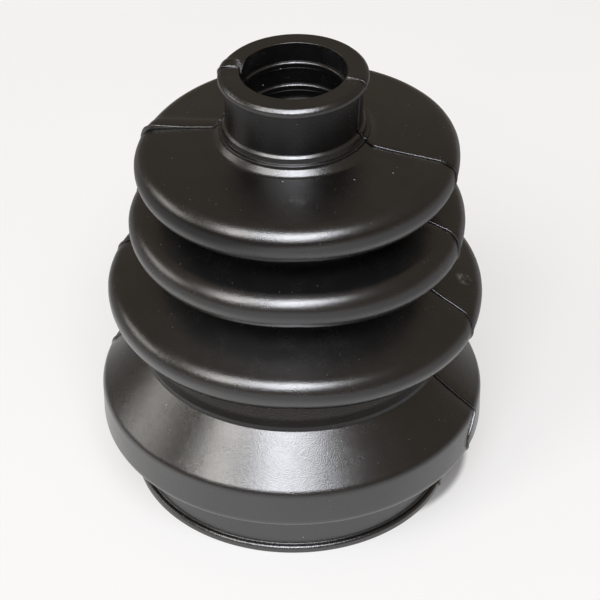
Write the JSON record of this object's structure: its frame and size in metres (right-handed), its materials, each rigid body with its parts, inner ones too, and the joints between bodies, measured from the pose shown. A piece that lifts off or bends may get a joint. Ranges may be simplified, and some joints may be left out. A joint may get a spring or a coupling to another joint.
{
  "type": "rubber bellows boot",
  "caption": "Black moulded rubber bellows boot: a lipped small end, fat rolls with deep valleys that widen downwards, a cone, an upright band and a recessed large end that it stands on.",
  "frame": {"origin": "centre of the large-end rim, in the plane that the boot stands on", "axes": "+Z along the boot's axis from the large end to the small end; the mould's parting plane is XZ, and the chip in the lip is on the -X side"},
  "size_m": [0.0956, 0.0948, 0.1139],
  "materials": {
    "rubber": "satin black moulded rubber"
  },
  "bodies": {
    "root": {"bellows_boot": "rubber"}
  },
  "joints": []
}
